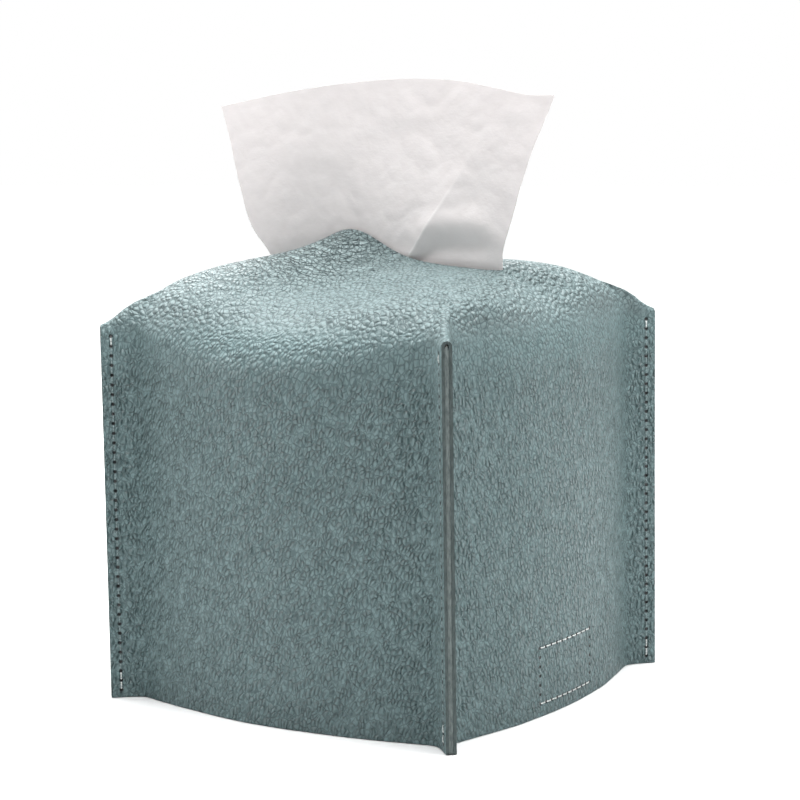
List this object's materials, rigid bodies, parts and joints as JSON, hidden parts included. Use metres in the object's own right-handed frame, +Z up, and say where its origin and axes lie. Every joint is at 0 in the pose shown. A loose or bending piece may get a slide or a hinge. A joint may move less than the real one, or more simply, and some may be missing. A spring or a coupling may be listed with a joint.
{
  "type": "tissue box cover",
  "caption": "Soft square slip-over cover for a cube carton of tissues, with outward sewn corner fins, a slit top that a tissue stands in, an open base and fold-down closing straps.",
  "frame": {"origin": "on the floor plane of the hem, under the middle of the cover", "axes": "+Z up, the slit runs along X, -Y is the side with the pinched lip; the picture looks at the corner between +X and -Y"},
  "size_m": [0.1362, 0.1352, 0.1979],
  "materials": {
    "teal_leather": "dusty teal faux leather with a pebbled grain, low sheen",
    "backing": "grey-brown napped knit backing, matt",
    "thread": "pale grey-green polyester sewing thread",
    "strap_leather": "the same dusty teal faux leather",
    "hook_tape": "teal nylon hook tape",
    "loop_tape": "teal brushed loop tape",
    "tissue_paper": "soft white facial tissue, matt"
  },
  "bodies": {
    "cover": {"cover_panel": "teal_leather", "lining": "backing", "near_corner_needle_thread": "thread", "near_corner_bobbin_thread": "thread", "right_corner_needle_thread": "thread", "right_corner_bobbin_thread": "thread", "far_corner_needle_thread": "thread", "far_corner_bobbin_thread": "thread", "left_corner_needle_thread": "thread", "left_corner_bobbin_thread": "thread", "right_box_needle_thread": "thread", "right_box_bobbin_thread": "thread", "left_box_needle_thread": "thread", "left_box_bobbin_thread": "thread", "long_strap_root": "strap_leather", "short_strap_root": "strap_leather"},
    "long_strap": {"long_strap": "strap_leather", "hook_patch": "hook_tape", "hook_patch_thread": "thread"},
    "short_strap": {"short_strap": "strap_leather", "loop_patch": "loop_tape", "loop_patch_thread": "thread"},
    "tissue": {"tissue_sheet": "tissue_paper"}
  },
  "joints": [
    {"name": "long_strap_fold", "type": "hinge", "parent": "cover", "child": "long_strap", "pos_m": [0.064, 0, 0.0016], "axis": [0, -1, 0], "range_deg": [0, 95]},
    {"name": "short_strap_fold", "type": "hinge", "parent": "cover", "child": "short_strap", "pos_m": [-0.064, 0, 0.0016], "axis": [0, 1, 0], "range_deg": [0, 95]},
    {"name": "tissue_pull", "type": "slide", "parent": "cover", "child": "tissue", "axis": [0, 0, 1], "range_m": [0, 0.012]}
  ],
  "couplings": [
    {"joint": "short_strap_fold", "follows": "long_strap_fold", "ratio": 1}
  ]
}
